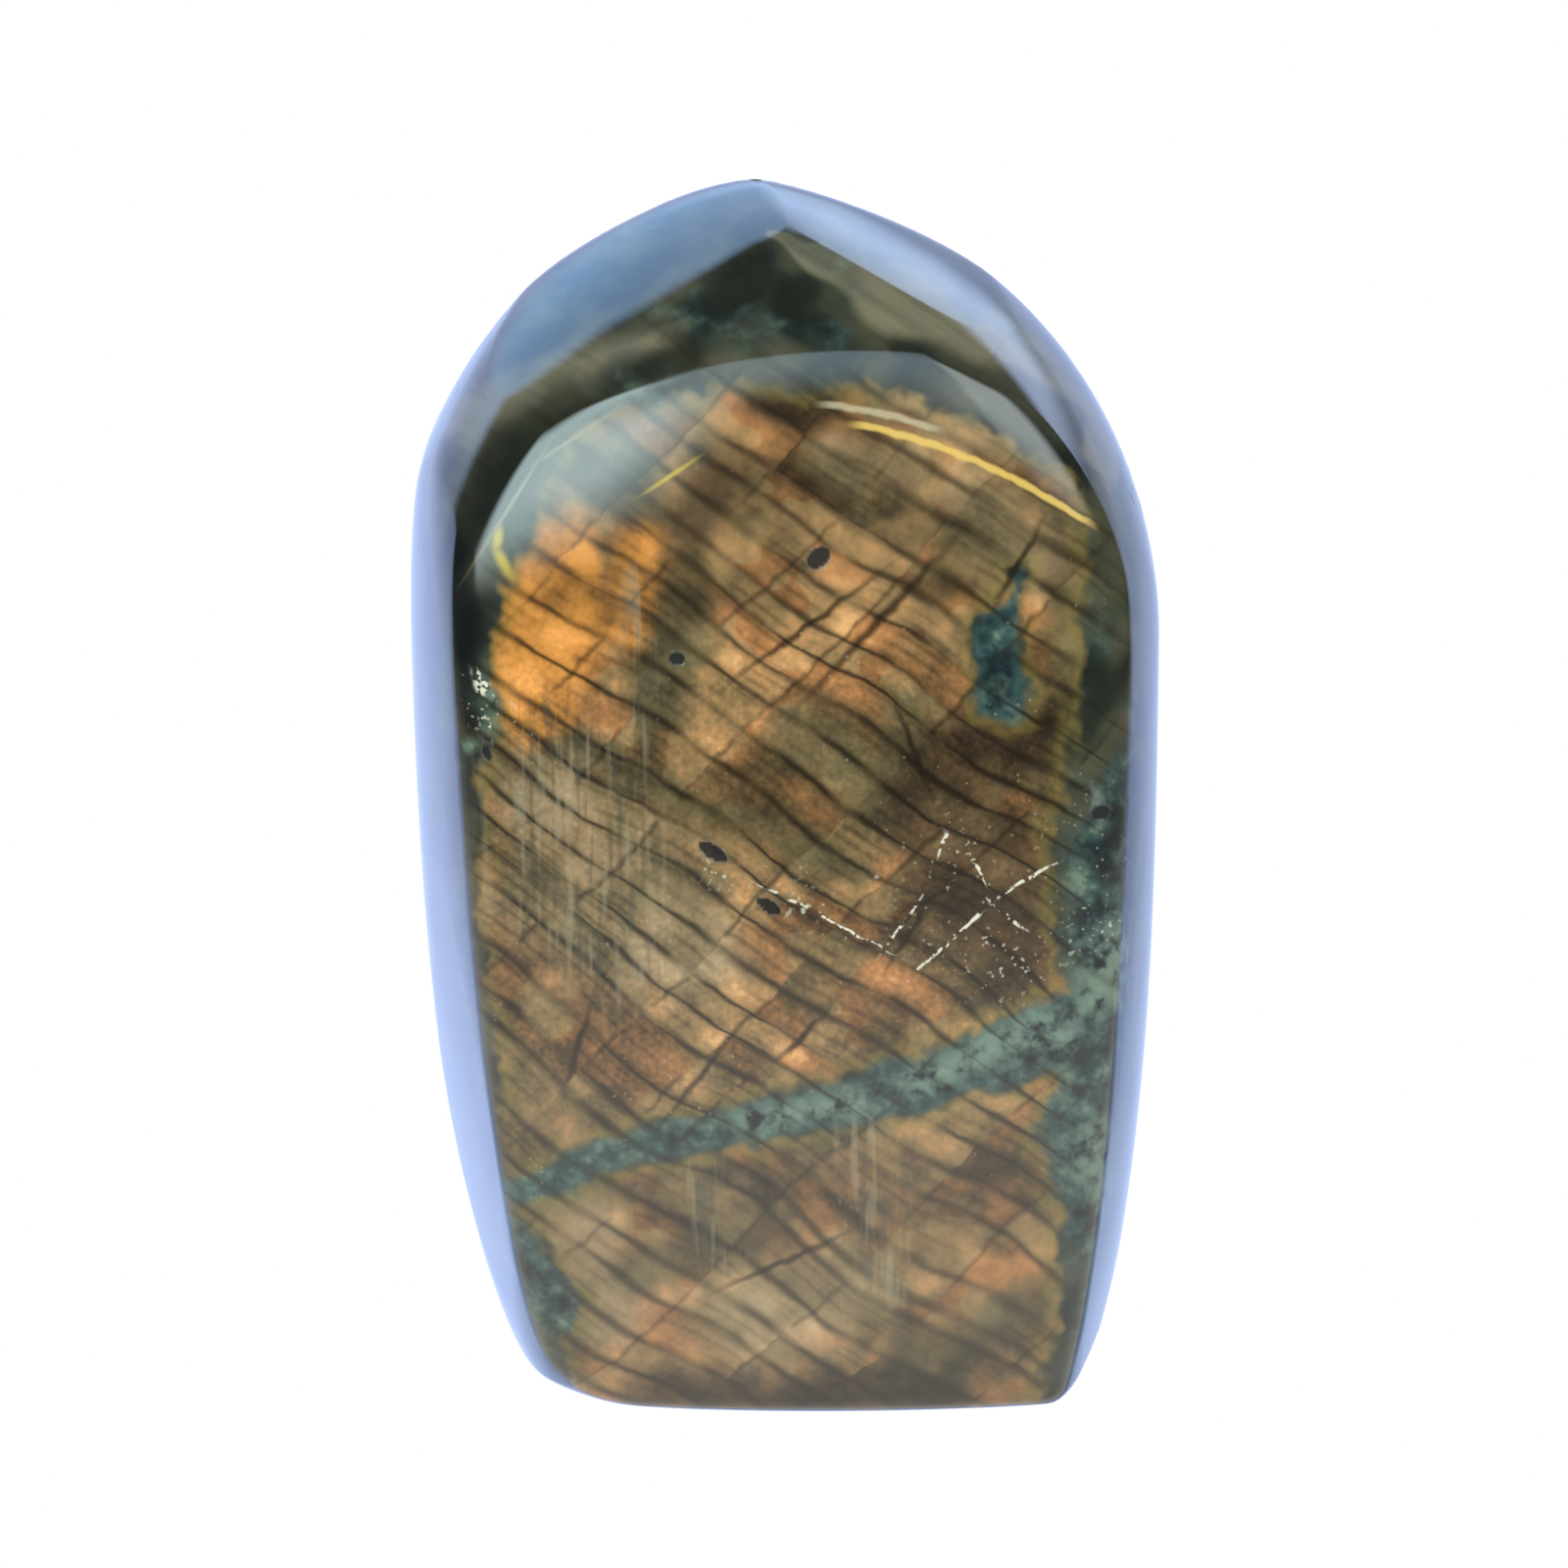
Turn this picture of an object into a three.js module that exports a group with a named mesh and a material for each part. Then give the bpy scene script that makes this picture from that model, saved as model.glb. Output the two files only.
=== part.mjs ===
// Polished labradorite free-form: one hand-sized stone that stands upright on a flat sawn base.
// Millimetres, Z up. The broad polished front faces -Y, the base rests on Z = 0 and the base centre is the origin.
//
// The stone is what is left after several faces have been ground onto one block. Every ground face is a flat or
// slightly domed limit with its own edge rounding. A point belongs to the stone while the sum of its squared
// overshoots past the rounded limits stays below one, so a face is exact in its middle and melts into its
// neighbours over the edge rounding.

import * as THREE from 'three';
import { mergeVertices } from 'three/addons/utils/BufferGeometryUtils.js';

// The point inside the stone from which its surface is measured outwards.
const HEART = new THREE.Vector3(0, 0, 52);

// The block before grinding and the number of grid squares along each of its sides.
const BLOCK_SIZE = { width: 46, depth: 34.5, height: 100 };
const BLOCK_SQUARES = { width: 27, depth: 18, height: 44 };
const REACH_MAX = 120;
const HALVINGS = 44;

// Broad faces: turn is measured about Z from the front (-Y) towards +X, tilt is upwards, both in degrees.
const FRONT = { at: [0, -19, 50], turn: 0, tilt: 3, dome: 250, edge: 2 };
const BACK = { at: [0, 19, 50], turn: 180, tilt: 3, dome: 160, edge: 5 };
const LEFT_SIDE = { at: [-29.2, 0, 45], turn: -78, tilt: -4, dome: 330, edge: 1.4 };
const RIGHT_SIDE = { at: [31.7, 0, 45], turn: 80, tilt: -2.4, dome: 290, edge: 1.6 };

// The bevel that climbs from the front face to the peak, and the slope behind the peak. The large edge of the bevel
// gives the soft shoulder along the top of the front face.
const BROW = { at: [2, -10, 90.2], turn: -3, tilt: 46, dome: 70, edge: 5.5 };
const NAPE = { at: [0, 14, 97], turn: 180, tilt: 55, dome: 60, edge: 3 };

// Two facets slope from the peak to the left and to the right and cut the bevel to a triangle.
const CREST_LEFT = { at: [-12, 0, 92.6], turn: -55, tilt: 60, dome: 120, edge: 1 };
const CREST_RIGHT = { at: [12, 2, 93], turn: 74, tilt: 65, dome: 110, edge: 1 };

// Two round shoulders carry the crown's arch down to the sides.
const CROWN_LEFT = { centre: [12, 6, 59], radius: 44.3, squash: 0.8, edge: 3.6 };
const CROWN_RIGHT = { centre: [-8.2, 5, 60.1], radius: 39.1, squash: 0.72, edge: 3.6 };

// Two round heels draw the stone in towards its base.
const FOOT_LEFT = { centre: [4.6, 2, 24.5], radius: 35.8, squash: 1, edge: 2.5 };
const FOOT_RIGHT = { centre: [-7.2, 2, 18], radius: 40.2, squash: 1, edge: 2.5 };

// The sawn base with its eased rim.
const BASE_EDGE = 1.8;

const STONE_COLOUR = 0x7d6450;
const STONE_ROUGHNESS = 0.12;

/** Outward direction of a face from its turn and tilt in degrees. */
function faceDirection(turn, tilt) {
  const around = THREE.MathUtils.degToRad(turn);
  const upward = THREE.MathUtils.degToRad(tilt);
  const level = Math.cos(upward);
  return new THREE.Vector3(Math.sin(around) * level, -Math.cos(around) * level, Math.sin(upward));
}

/** A broad ground face: a very large sphere that touches the given point. */
function domedFace({ at, turn, tilt, dome, edge }) {
  const centre = new THREE.Vector3(...at).addScaledVector(faceDirection(turn, tilt), -dome);
  const ball = new THREE.Sphere(centre, dome);
  return { edge, overshoot: (point) => ball.distanceToPoint(point) };
}

/** A round shoulder or heel: a ball on one side of its centre and an upright wall on the other. */
function roundedEnd({ centre, radius, squash, edge }, upSign) {
  const middle = new THREE.Vector3(...centre);
  const step = new THREE.Vector3();
  const overshoot = (point) => {
    step.subVectors(point, middle);
    step.y *= squash;
    step.z = Math.max(0, step.z * upSign);
    return step.length() - radius;
  };
  return { edge, overshoot };
}

/** The flat base: a level plane through the origin that looks down. */
function flatBase(edge) {
  const plane = new THREE.Plane(new THREE.Vector3(0, 0, -1), 0);
  return { edge, overshoot: (point) => plane.distanceToPoint(point) };
}

const GROUND_FACES = [
  domedFace(FRONT),
  domedFace(BACK),
  domedFace(LEFT_SIDE),
  domedFace(RIGHT_SIDE),
  domedFace(BROW),
  domedFace(NAPE),
  domedFace(CREST_LEFT),
  domedFace(CREST_RIGHT),
  roundedEnd(CROWN_LEFT, 1),
  roundedEnd(CROWN_RIGHT, 1),
  roundedEnd(FOOT_LEFT, -1),
  roundedEnd(FOOT_RIGHT, -1),
  flatBase(BASE_EDGE),
];

/** True while a point lies inside all the rounded faces together. */
function isStone(point) {
  let sum = 0;
  for (const face of GROUND_FACES) {
    const past = Math.max(0, 1 + face.overshoot(point) / face.edge);
    sum += past * past;
  }
  return sum < 1;
}

/** Moves a point of the block along its ray from the heart until it lies on the ground surface. */
function grind(point) {
  const ray = point.clone().sub(HEART).normalize();
  const probe = new THREE.Vector3();
  let inside = 0;
  let outside = REACH_MAX;
  for (let round = 0; round < HALVINGS; round += 1) {
    const middle = (inside + outside) / 2;
    probe.copy(HEART).addScaledVector(ray, middle);
    if (isStone(probe)) {
      inside = middle;
    } else {
      outside = middle;
    }
  }
  return probe.copy(HEART).addScaledVector(ray, inside);
}

/** The block as a closed grid, each corner of the grid ground down to the stone. */
function stoneGeometry() {
  const { width, depth, height } = BLOCK_SIZE;
  const squares = BLOCK_SQUARES;
  const block = new THREE.BoxGeometry(width, depth, height, squares.width, squares.depth, squares.height);
  block.deleteAttribute('normal');
  block.deleteAttribute('uv');
  const geometry = mergeVertices(block, 0.001);
  geometry.translate(HEART.x, HEART.y, HEART.z);
  const corners = geometry.getAttribute('position');
  const corner = new THREE.Vector3();
  for (let index = 0; index < corners.count; index += 1) {
    corner.fromBufferAttribute(corners, index);
    const ground = grind(corner);
    const level = ground.z < 0.0005 ? 0 : ground.z;
    corners.setXYZ(index, ground.x, ground.y, level);
  }
  geometry.computeBoundingBox();
  const middle = geometry.boundingBox.getCenter(new THREE.Vector3());
  geometry.translate(-middle.x, -middle.y, 0);
  geometry.clearGroups();
  geometry.computeVertexNormals();
  return geometry;
}

const material = new THREE.MeshStandardMaterial({
  color: STONE_COLOUR,
  roughness: STONE_ROUGHNESS,
  metalness: 0,
});

const stone = new THREE.Mesh(stoneGeometry(), material);
stone.name = 'stone';

const part = new THREE.Group();
part.name = 'labradorite_free_form';
part.add(stone);

export default part;
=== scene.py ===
"""Looks of a polished labradorite free-form that stands on its sawn base.

The stone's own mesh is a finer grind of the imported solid.
Its finish is painted by nodes in real millimetres.
"""

import logging
import math
from collections.abc import Callable
from dataclasses import dataclass, field, replace
from enum import Enum
from functools import partial

import bpy
import numpy as np
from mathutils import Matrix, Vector
from mathutils.noise import noise_vector, seed_set


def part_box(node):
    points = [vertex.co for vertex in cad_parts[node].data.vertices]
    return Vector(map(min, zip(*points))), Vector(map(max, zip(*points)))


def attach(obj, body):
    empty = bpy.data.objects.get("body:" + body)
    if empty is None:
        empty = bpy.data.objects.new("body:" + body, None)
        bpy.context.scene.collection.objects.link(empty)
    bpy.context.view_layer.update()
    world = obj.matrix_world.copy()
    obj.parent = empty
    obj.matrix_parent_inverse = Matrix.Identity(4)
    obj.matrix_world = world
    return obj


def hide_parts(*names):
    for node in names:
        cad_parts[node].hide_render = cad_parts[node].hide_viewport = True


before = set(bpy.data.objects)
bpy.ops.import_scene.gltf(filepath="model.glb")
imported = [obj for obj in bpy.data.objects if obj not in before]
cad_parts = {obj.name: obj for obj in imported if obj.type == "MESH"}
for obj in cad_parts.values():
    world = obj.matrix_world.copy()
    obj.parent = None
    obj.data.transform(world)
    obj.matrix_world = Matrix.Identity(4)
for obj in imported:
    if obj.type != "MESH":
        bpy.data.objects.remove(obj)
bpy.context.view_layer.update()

LOG = logging.getLogger("labradorite")
MM = 0.001

Point = tuple[float, float, float]
Socket = bpy.types.NodeSocket
Value = Socket | float | tuple[float, ...]
NodeMaker = Callable[..., Socket]

SMOOTHLY = {"interpolation_type": "SMOOTHSTEP"}
COLOURS = {"out": 2, "data_type": "RGBA"}


class End(Enum):
    """The end of the stone that a rounded end closes, with the sign of its upward direction."""

    CROWN = 1.0
    FOOT = -1.0


def linear(colour: str) -> tuple[float, float, float, float]:
    """Turns an sRGB hex colour into the linear colour that shaders use.

    Args:
        colour: six hex digits after a hash sign.

    Returns:
        Linear red, green, blue and an alpha of one.
    """
    parts = [int(colour[i:i + 2], 16) / 255 for i in (1, 3, 5)]
    red, green, blue = (c / 12.92 if c <= 0.04045 else ((c + 0.055) / 1.055) ** 2.4 for c in parts)
    return red, green, blue, 1.0


def add_node(tree: bpy.types.NodeTree, kind: str, links: dict[int | str, Value], out: int | str | None = 0,
             stops: tuple[str, ...] = (), **settings: object) -> Socket | None:
    """Adds a node with its settings and links.

    Args:
        tree: the node tree that receives it.
        kind: the node's type without its common prefix.
        links: input name or number to a socket or a constant.
        out: name or number of the output that is wanted, or none.
        stops: colours of a ramp from left to right, evenly spread.
        settings: further properties of the node.

    Returns:
        The wanted output.
    """
    node = tree.nodes.new("ShaderNode" + kind)
    for name, value in settings.items():
        setattr(node, name, value)
    for step, colour in enumerate(stops):
        elements = node.color_ramp.elements
        element = elements[step] if step < 2 else elements.new(1.0)
        element.position = step / (len(stops) - 1)
        element.color = linear(colour)
    for key, value in links.items():
        if isinstance(value, bpy.types.NodeSocket):
            tree.links.new(value, node.inputs[key])
        else:
            node.inputs[key].default_value = value
    return None if out is None else node.outputs[out]


def direction(turn: float, tilt: float) -> np.ndarray:
    """Outward direction of a face.

    Args:
        turn: degrees about Z from the front (-Y) towards +X.
        tilt: degrees upwards.

    Returns:
        A unit vector.
    """
    around, upward = math.radians(turn), math.radians(tilt)
    level = math.cos(upward)
    return np.array([math.sin(around) * level, -math.cos(around) * level, math.sin(upward)])


@dataclass(frozen=True)
class DomedFace:
    """A broad ground face: a very large ball that touches one point of the stone, in millimetres."""

    at: Point
    turn: float
    tilt: float
    dome: float
    edge: float

    def overshoot(self, points: np.ndarray) -> np.ndarray:
        """How far points lie beyond the face.

        Args:
            points: rows of X, Y, Z.

        Returns:
            One distance for each row, negative inside.
        """
        centre = np.array(self.at) - direction(self.turn, self.tilt) * self.dome
        return np.linalg.norm(points - centre, axis=1) - self.dome


@dataclass(frozen=True)
class RoundedEnd:
    """A round shoulder or heel: a ball beyond its centre and an upright wall on the other side of it."""

    centre: Point
    radius: float
    squash: float
    edge: float
    end: End

    def overshoot(self, points: np.ndarray) -> np.ndarray:
        """How far points lie beyond the rounded end.

        Args:
            points: rows of X, Y, Z.

        Returns:
            One distance for each row, negative inside.
        """
        step = points - np.array(self.centre)
        step[:, 1] *= self.squash
        step[:, 2] = np.maximum(0.0, step[:, 2] * self.end.value)
        return np.linalg.norm(step, axis=1) - self.radius


@dataclass(frozen=True)
class FlatBase:
    """The sawn base on Z = 0."""

    edge: float

    def overshoot(self, points: np.ndarray) -> np.ndarray:
        """How far points lie below the base."""
        return -points[:, 2]


@dataclass(frozen=True)
class Pit:
    """A small natural hole in the polished front, by its centre and half sizes in millimetres."""

    x: float
    z: float
    long: float
    short: float
    turn: float
    depth: float


PITS: tuple[Pit, ...] = (
    Pit(x=2.7, z=71.8, long=1.0, short=0.7, turn=-40, depth=0.35),
    Pit(x=-8.4, z=63.9, long=0.6, short=0.5, turn=0, depth=0.25),
    Pit(x=-5.6, z=48.5, long=1.3, short=0.5, turn=33, depth=0.4),
    Pit(x=-1.2, z=44.1, long=1.1, short=0.45, turn=33, depth=0.4),
    Pit(x=-23.4, z=56.2, long=0.7, short=0.3, turn=70, depth=0.2),
    Pit(x=25.0, z=51.3, long=0.8, short=0.6, turn=0, depth=0.25),
)


@dataclass
class Stone:
    """The one piece of the object: the ground and polished stone. Sizes are in millimetres.

    Its surface is what is left after all the faces have been ground onto one block, each with its own edge
    rounding.
    """

    node: str = "stone"
    heart: Point = (0.0, 0.0, 52.0)
    front: DomedFace = DomedFace(at=(0, -19, 50), turn=0, tilt=3, dome=250, edge=2)
    back: DomedFace = DomedFace(at=(0, 19, 50), turn=180, tilt=3, dome=160, edge=5)
    left_side: DomedFace = DomedFace(at=(-29.2, 0, 45), turn=-78, tilt=-4, dome=330, edge=1.4)
    right_side: DomedFace = DomedFace(at=(31.7, 0, 45), turn=80, tilt=-2.4, dome=290, edge=1.6)
    brow: DomedFace = DomedFace(at=(2, -10, 90.2), turn=-3, tilt=46, dome=70, edge=5.5)
    nape: DomedFace = DomedFace(at=(0, 14, 97), turn=180, tilt=55, dome=60, edge=3)
    crest_left: DomedFace = DomedFace(at=(-12, 0, 92.6), turn=-55, tilt=60, dome=120, edge=1)
    crest_right: DomedFace = DomedFace(at=(12, 2, 93), turn=74, tilt=65, dome=110, edge=1)
    crown_left: RoundedEnd = RoundedEnd((12, 6, 59), radius=44.3, squash=0.8, edge=3.6, end=End.CROWN)
    crown_right: RoundedEnd = RoundedEnd((-8.2, 5, 60.1), radius=39.1, squash=0.72, edge=3.6, end=End.CROWN)
    foot_left: RoundedEnd = RoundedEnd((4.6, 2, 24.5), radius=35.8, squash=1, edge=2.5, end=End.FOOT)
    foot_right: RoundedEnd = RoundedEnd((-7.2, 2, 18), radius=40.2, squash=1, edge=2.5, end=End.FOOT)
    base: FlatBase = FlatBase(edge=1.8)
    reach: float = 120.0
    halvings: int = 34
    probe: float = 0.005
    weld: float = 0.001
    cuts: int = 2
    fine_cuts: int = 2
    fine_from: float = 60.0
    fine_depth: float = 6.0
    fine_turn: float = 2.3
    pit_margin: float = 1.0
    pit_rim: float = 0.15
    piece: bpy.types.Object | None = field(default=None, init=False)

    @property
    def faces(self) -> tuple[DomedFace | RoundedEnd | FlatBase, ...]:
        """All the faces that are ground onto the stone."""
        return (self.front, self.back, self.left_side, self.right_side, self.brow, self.nape,
                self.crest_left, self.crest_right, self.crown_left, self.crown_right,
                self.foot_left, self.foot_right, self.base)

    def build(self) -> bpy.types.Object:
        """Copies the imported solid, refines its grid and grinds it again at the finer scale.

        Returns:
            The stone's object, at the origin.
        """
        mesh = self.copy_solid()
        self.refine(mesh)
        corners = np.zeros(len(mesh.vertices) * 3)
        mesh.vertices.foreach_get("co", corners)
        ground = self.grind(corners.reshape(-1, 3) / MM)
        facing = self.facing(ground)
        polished = self.centred(ground)
        pitted = self.pitted(polished)
        sunk = pitted[:, 1] - polished[:, 1]
        # A normal of zero tells Blender to work it out from the faces, as the pits need.
        facing[sunk > 0.0] = 0.0
        mesh.vertices.foreach_set("co", (pitted * MM).ravel())
        mesh.update()
        FrontMap().write(mesh, pitted, sunk)
        bpy.ops.object.shade_smooth()
        mesh.normals_split_custom_set_from_vertices(facing.tolist())
        return self.piece

    def copy_solid(self) -> bpy.types.Mesh:
        """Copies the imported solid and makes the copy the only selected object.

        Returns:
            The copy's mesh.
        """
        bpy.ops.object.select_all(action="DESELECT")
        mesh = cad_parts[self.node].data.copy()
        mesh.materials.clear()
        self.piece = bpy.data.objects.new("polished_stone", mesh)
        bpy.context.scene.collection.objects.link(self.piece)
        self.piece.select_set(True)
        bpy.context.view_layer.objects.active = self.piece
        return mesh

    def refine(self, mesh: bpy.types.Mesh) -> None:
        """Merges the copy's loose triangles into squares and divides them.

        Args:
            mesh: the copy's mesh.
        """
        bpy.ops.object.mode_set(mode="EDIT")
        bpy.ops.mesh.select_all(action="SELECT")
        bpy.ops.mesh.remove_doubles(threshold=self.weld * MM)
        bpy.ops.mesh.tris_convert_to_quads(face_threshold=math.pi, shape_threshold=math.pi)
        bpy.ops.mesh.select_mode(type="FACE")
        bpy.ops.mesh.select_all(action="DESELECT")
        bpy.ops.object.mode_set(mode="OBJECT")
        for face in mesh.polygons:
            face.select = self.needs_fine_grid(face)
        bpy.ops.object.mode_set(mode="EDIT")
        bpy.ops.mesh.subdivide(number_cuts=self.fine_cuts)
        bpy.ops.mesh.select_all(action="SELECT")
        bpy.ops.mesh.subdivide(number_cuts=self.cuts)
        bpy.ops.object.mode_set(mode="OBJECT")

    def needs_fine_grid(self, face: bpy.types.MeshPolygon) -> bool:
        """Tells whether a face lies at a pit, or on the crown where the surface turns fast.

        Args:
            face: a face of the stone's mesh.

        Returns:
            True for a face that needs the finer grid.
        """
        place = face.center / MM
        near = (math.hypot(place.x - pit.x, place.z - pit.z) < pit.long + self.pit_margin for pit in PITS)
        if place.y < 0 and any(near):
            return True
        corners = (self.piece.data.vertices[index] for index in face.vertices)
        turn = max(face.normal.angle(corner.normal) for corner in corners)
        return place.z > self.fine_from and place.y < self.fine_depth and turn > math.radians(self.fine_turn)

    def fill(self, points: np.ndarray) -> np.ndarray:
        """Sums up how far points go into the rounding of all the faces together.

        Args:
            points: rows of X, Y, Z in millimetres.

        Returns:
            One sum for each row, below one inside the stone.
        """
        total = np.zeros(len(points))
        for face in self.faces:
            total += np.maximum(0.0, 1.0 + face.overshoot(points) / face.edge) ** 2
        return total

    def facing(self, points: np.ndarray) -> np.ndarray:
        """Outward directions of the ground surface.

        Args:
            points: rows of X, Y, Z in millimetres on the surface.

        Returns:
            One unit vector for each row.
        """
        steps = np.eye(3) * self.probe
        slopes = np.stack([self.fill(points + step) - self.fill(points - step) for step in steps], axis=1)
        return slopes / np.linalg.norm(slopes, axis=1)[:, None]

    def grind(self, points: np.ndarray) -> np.ndarray:
        """Moves points along their rays from the heart onto the ground surface.

        Args:
            points: rows of X, Y, Z in millimetres.

        Returns:
            The moved rows.
        """
        heart = np.array(self.heart)
        rays = points - heart
        rays /= np.linalg.norm(rays, axis=1)[:, None]
        near, far = np.zeros(len(points)), np.full(len(points), self.reach)
        for _ in range(self.halvings):
            middle = (near + far) / 2
            within = self.fill(heart + rays * middle[:, None]) < 1.0
            near = np.where(within, middle, near)
            far = np.where(within, far, middle)
        ground = heart + rays * near[:, None]
        ground[:, 2] = np.maximum(0.0, ground[:, 2])
        return ground

    def centred(self, points: np.ndarray) -> np.ndarray:
        """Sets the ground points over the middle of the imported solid's footprint, within its box.

        Args:
            points: rows of X, Y, Z in millimetres.

        Returns:
            The moved rows.
        """
        low, high = (np.array(corner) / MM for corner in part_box(self.node))
        middle = (low + high) / 2 - (points.min(axis=0) + points.max(axis=0)) / 2
        return np.clip(points + np.array([middle[0], middle[1], 0.0]), low, high)

    def pitted(self, points: np.ndarray) -> np.ndarray:
        """Sinks the natural pits into the front.

        Args:
            points: rows of X, Y, Z in millimetres.

        Returns:
            The rows with the pits pressed in along +Y.
        """
        sunk = points.copy()
        front = points[:, 1] < 0
        for pit in PITS:
            turn = math.radians(pit.turn)
            right, up = points[:, 0] - pit.x, points[:, 2] - pit.z
            along = right * math.cos(turn) - up * math.sin(turn)
            across = right * math.sin(turn) + up * math.cos(turn)
            far = (along / (pit.long + self.pit_rim)) ** 2 + (across / (pit.short + self.pit_rim)) ** 2
            sunk[:, 1] += np.where(front, pit.depth * np.clip(1.0 - far, 0.0, 1.0), 0.0)
        return sunk

    def dress(self, finish: "PolishedLabradorite") -> None:
        """Gives the stone its finish and its place in the frame.

        Args:
            finish: the stone's material.
        """
        self.piece.data.materials.append(finish.build())
        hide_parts(self.node)
        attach(self.piece, "root")


@dataclass(frozen=True)
class Trail:
    """A soft brush mark on the front: stations of X, Z and half width in millimetres, and its softness."""

    stations: tuple[Point, ...]
    soft: float = 0.45

    def gap(self, x: np.ndarray, z: np.ndarray) -> tuple[np.ndarray, np.ndarray]:
        """How far points lie from the mark.

        Args:
            x: X of each point.
            z: Z of each point.

        Returns:
            The distance from the mark's border, negative inside, and the distance from its middle in half
            widths.
        """
        beyond, share = np.full(len(x), np.inf), np.full(len(x), np.inf)
        stations = self.stations if len(self.stations) > 1 else self.stations * 2
        for (x0, z0, half0), (x1, z1, half1) in zip(stations, stations[1:]):
            run, rise = x1 - x0, z1 - z0
            square = run * run + rise * rise or 1.0
            part = np.clip(((x - x0) * run + (z - z0) * rise) / square, 0.0, 1.0)
            half = half0 + (half1 - half0) * part
            far = np.hypot(x - x0 - part * run, z - z0 - part * rise)
            beyond = np.minimum(beyond, far - half)
            share = np.minimum(share, far / half)
        return beyond, share

    def mask(self, x: np.ndarray, z: np.ndarray) -> np.ndarray:
        """One inside the mark and zero outside, with a soft border."""
        return smooth((1.0 + self.soft - self.gap(x, z)[1]) / (2 * self.soft))


def smooth(value: np.ndarray) -> np.ndarray:
    """Eases values between zero and one."""
    held = np.clip(value, 0.0, 1.0)
    return held * held * (3.0 - 2.0 * held)


class Zone(Enum):
    """The parts of the front that differ in colour or grain, each with the name of its mesh attribute."""

    AMBER = "amber"
    TAN = "tan"
    BROWN = "brown"
    OLIVE = "olive"
    BRIGHT = "bright"
    TEAL = "teal"
    PALE = "pale"
    HEART = "heart"
    STREAK = "streak"
    FLAKE = "flake"
    STRAP = "strap"
    DUSK = "dusk"


BROW_ZONES = (Zone.STRAP, Zone.DUSK)

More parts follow.
